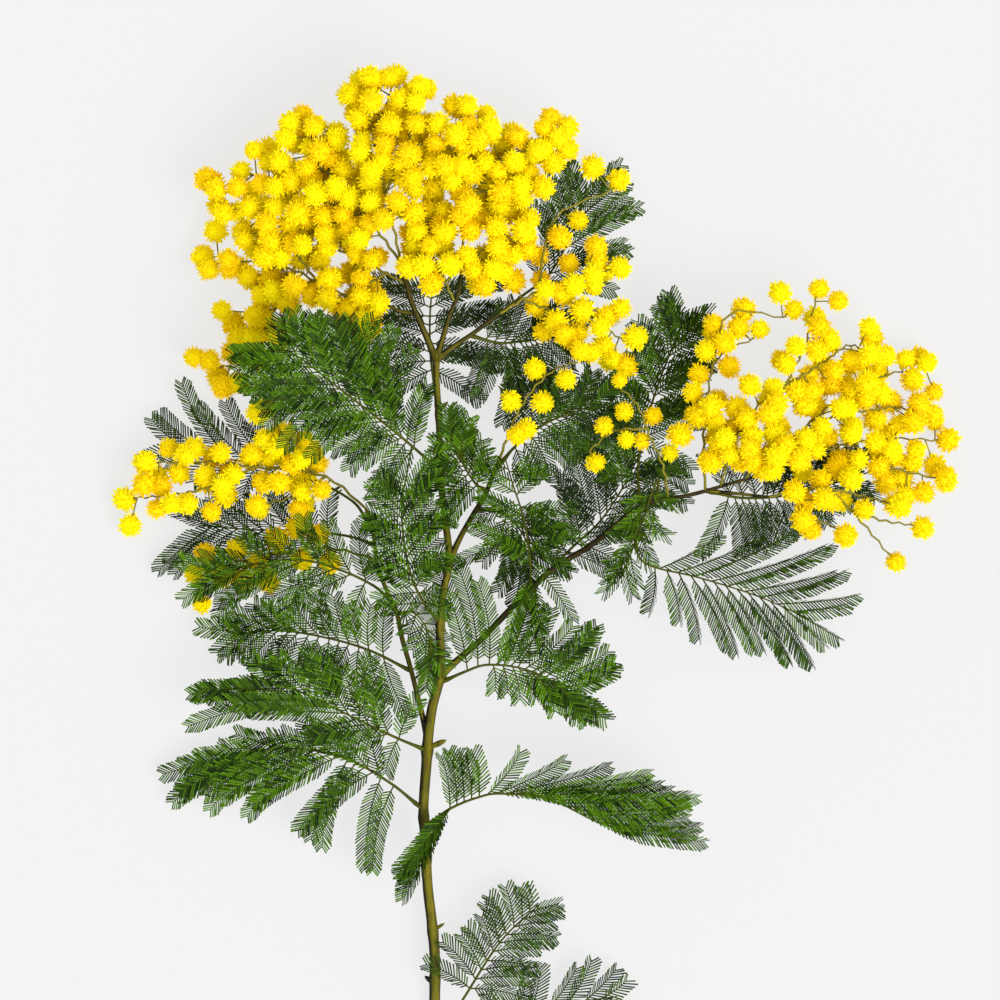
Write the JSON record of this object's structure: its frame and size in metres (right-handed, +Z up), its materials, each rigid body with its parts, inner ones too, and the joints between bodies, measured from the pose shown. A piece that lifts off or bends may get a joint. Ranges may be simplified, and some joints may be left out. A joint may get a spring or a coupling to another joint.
{
  "type": "mimosa sprig",
  "caption": "Sprig of mimosa in flower with a forked woody stem, feathery green fronds and sprays of round yellow flower heads, laid flat.",
  "frame": {"origin": "on the table, below the middle of the whole sprig", "axes": "+Y along the sprig from its cut end to its flowers, +Z up off the table, +X across it"},
  "size_m": [0.2847, 0.3371, 0.0577],
  "materials": {
    "bark": "olive green young bark, darker brown on the side bough",
    "leaf": "matte green leaflets, greyer below",
    "flower": "soft fluffy lemon yellow"
  },
  "bodies": {
    "root": {"stem": "bark", "frond_lower_left_high": "leaf", "frond_lower_left_low": "leaf", "frond_left_high": "leaf", "frond_left_low": "leaf", "frond_fan": "leaf", "frond_centre": "leaf", "frond_left_back": "leaf", "frond_left_under": "leaf", "frond_lower_right": "leaf", "frond_bottom": "leaf", "frond_bottom_low": "leaf", "frond_right_low": "leaf", "frond_right_front": "leaf", "frond_right_upper": "leaf", "frond_middle_back": "leaf", "frond_top_right": "leaf", "frond_under_fork": "leaf", "frond_fork_side": "leaf", "frond_right_back": "leaf", "frond_bough_front": "leaf", "frond_small_right": "leaf", "frond_inner_left": "leaf", "frond_inner_right": "leaf", "frond_inner_low": "leaf", "frond_twig": "leaf", "spray_top_far_left": "flower", "spray_top_left": "flower", "spray_top": "flower", "spray_top_middle": "flower", "spray_fork_left": "flower", "spray_fork_middle": "flower", "spray_fork_right": "flower", "spray_inner": "flower", "spray_bough": "flower", "spray_right_upper": "flower", "spray_right_top": "flower", "spray_right_middle": "flower", "spray_right_low": "flower", "spray_right_under": "flower", "spray_right_centre": "flower", "spray_left": "flower", "spray_left_low": "flower"}
  },
  "joints": []
}
